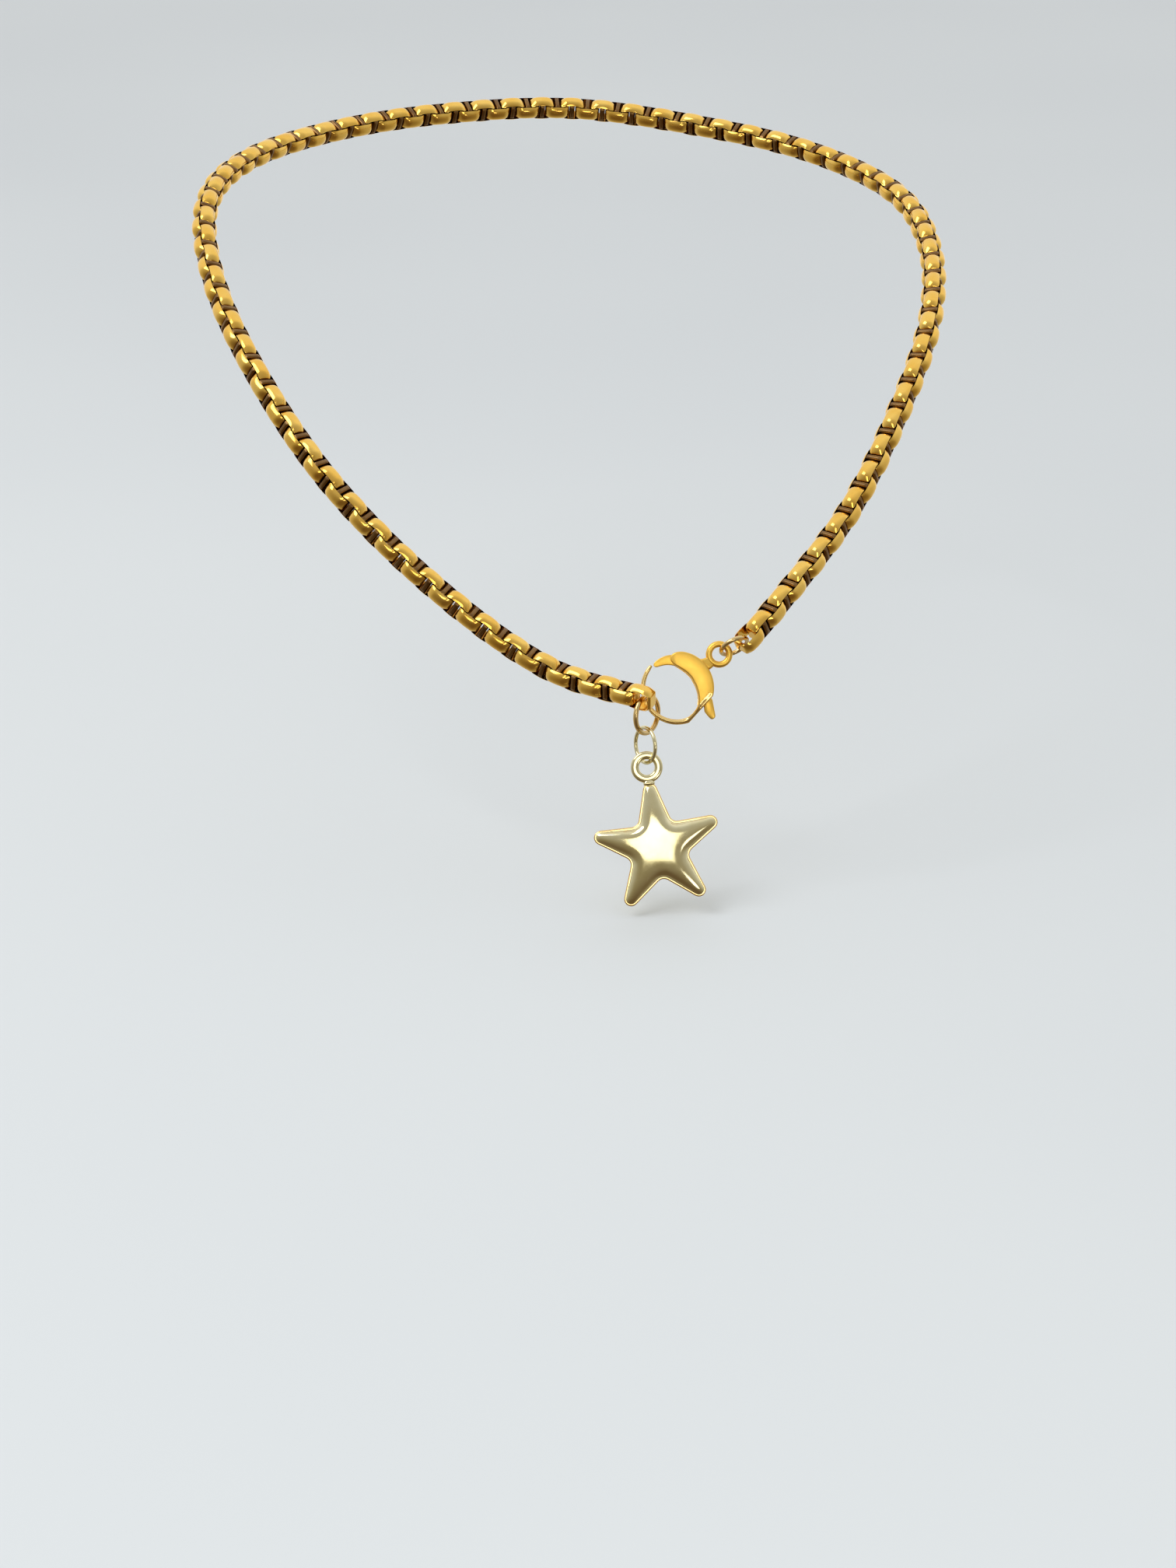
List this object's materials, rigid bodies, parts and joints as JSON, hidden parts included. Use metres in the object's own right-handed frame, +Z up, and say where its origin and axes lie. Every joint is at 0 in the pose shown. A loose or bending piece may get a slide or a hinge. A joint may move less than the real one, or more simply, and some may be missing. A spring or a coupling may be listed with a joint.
{
  "type": "chain necklace",
  "caption": "Round box-link chain necklace joined at the front by a crescent lobster clasp on a ring, with a puffed star pendant hanging from the same ring.",
  "frame": {"origin": "inner side of the chain at the middle of the nape, where it rests on the neck", "axes": "+X towards the wearer's left shoulder, +Y out through the back of the neck, +Z up"},
  "size_m": [0.1468, 0.1728, 0.114],
  "materials": {
    "chain_gold": "polished gold plate",
    "ring_gold": "polished gold plate",
    "clasp_gold": "satin gold plate",
    "star_gold": "pale polished gold",
    "spring_steel": "drawn wire"
  },
  "bodies": {
    "nape": {"nape_links": "chain_gold", "left_links_01": "chain_gold", "right_links_01": "chain_gold", "left_links_02": "chain_gold", "right_links_02": "chain_gold"},
    "arms_1": {"left_links_03": "chain_gold", "right_links_03": "chain_gold", "left_links_04": "chain_gold", "right_links_04": "chain_gold", "left_links_05": "chain_gold", "right_links_05": "chain_gold"},
    "arms_2": {"left_links_06": "chain_gold", "right_links_06": "chain_gold", "left_links_07": "chain_gold", "right_links_07": "chain_gold"},
    "arms_3": {"left_links_08": "chain_gold", "right_links_08": "chain_gold", "left_links_09": "chain_gold", "right_links_09": "chain_gold"},
    "arms_4": {"left_links_10": "chain_gold", "right_links_10": "chain_gold", "left_links_11": "chain_gold", "right_links_11": "chain_gold"},
    "arms_5": {"left_links_12": "chain_gold", "right_links_12": "chain_gold", "left_links_13": "chain_gold", "right_links_13": "chain_gold"},
    "arms_6": {"left_links_14": "chain_gold", "right_links_14": "chain_gold"},
    "end_ring": {"end_ring": "ring_gold"},
    "clasp_jump_ring": {"clasp_jump_ring": "ring_gold"},
    "clasp": {"clasp_body": "clasp_gold", "clasp_pin": "clasp_gold", "clasp_spring": "spring_steel"},
    "clasp_lever": {"clasp_lever": "clasp_gold"},
    "pendant_ring": {"pendant_ring": "star_gold"},
    "star": {"star_front": "star_gold", "star_back": "star_gold", "star_bail": "star_gold"}
  },
  "joints": [
    {"name": "arms_1_lift", "type": "hinge", "parent": "nape", "child": "arms_1", "pos_m": [-0.00152, -0.01491, -0.00255], "axis": [-0.9924, -0.1095, 0.0555], "range_deg": [0, 6]},
    {"name": "arms_2_lift", "type": "hinge", "parent": "arms_1", "child": "arms_2", "pos_m": [-0.00093, -0.0553, -0.00678], "axis": [-0.9857, -0.1596, 0.0541], "range_deg": [0, 7]},
    {"name": "arms_3_lift", "type": "hinge", "parent": "arms_2", "child": "arms_3", "pos_m": [0.00205, -0.08469, -0.01573], "axis": [-0.9845, -0.1738, 0.0252], "range_deg": [0, 7]},
    {"name": "arms_4_lift", "type": "hinge", "parent": "arms_3", "child": "arms_4", "pos_m": [0.00677, -0.11134, -0.03083], "axis": [-0.9782, -0.2057, -0.0285], "range_deg": [0, 6]},
    {"name": "arms_5_lift", "type": "hinge", "parent": "arms_4", "child": "arms_5", "pos_m": [0.01287, -0.12959, -0.05046], "axis": [-0.9729, -0.1978, -0.1201], "range_deg": [0, 4]},
    {"name": "arms_6_lift", "type": "hinge", "parent": "arms_5", "child": "arms_6", "pos_m": [0.01969, -0.14438, -0.06718], "axis": [-0.9335, -0.1573, -0.3223], "range_deg": [0, 4]},
    {"name": "end_ring_turn", "type": "hinge", "parent": "arms_6", "child": "end_ring", "pos_m": [0.01402, -0.15423, -0.07878], "axis": [0, 0.3746, 0.9272], "range_deg": [-6, 6]},
    {"name": "clasp_jump_ring_turn", "type": "hinge", "parent": "arms_6", "child": "clasp_jump_ring", "pos_m": [0.02983, -0.14847, -0.06773], "axis": [0.9061, 0.1585, 0.3922], "range_deg": [-6, 3]},
    {"name": "clasp_roll", "type": "hinge", "parent": "arms_6", "child": "clasp", "pos_m": [0.02173, -0.15065, -0.07311], "axis": [-0.8003, -0.2246, -0.5559], "range_deg": [0, 12]},
    {"name": "clasp_lever_open", "type": "hinge", "parent": "clasp", "child": "clasp_lever", "pos_m": [0.02283, -0.15017, -0.07194], "axis": [0, -0.9272, 0.3746], "range_deg": [0, 25], "stiffness_Nm_per_rad": 0.0005, "springref_deg": -20.05},
    {"name": "pendant_ring_swing", "type": "hinge", "parent": "end_ring", "child": "pendant_ring", "pos_m": [0.01348, -0.15535, -0.08156], "axis": [-1, 0, 0], "range_deg": [0, 32]},
    {"name": "star_swing", "type": "hinge", "parent": "pendant_ring", "child": "star", "pos_m": [0.01402, -0.15719, -0.0861], "axis": [-1, 0, 0], "range_deg": [0, 40]}
  ]
}
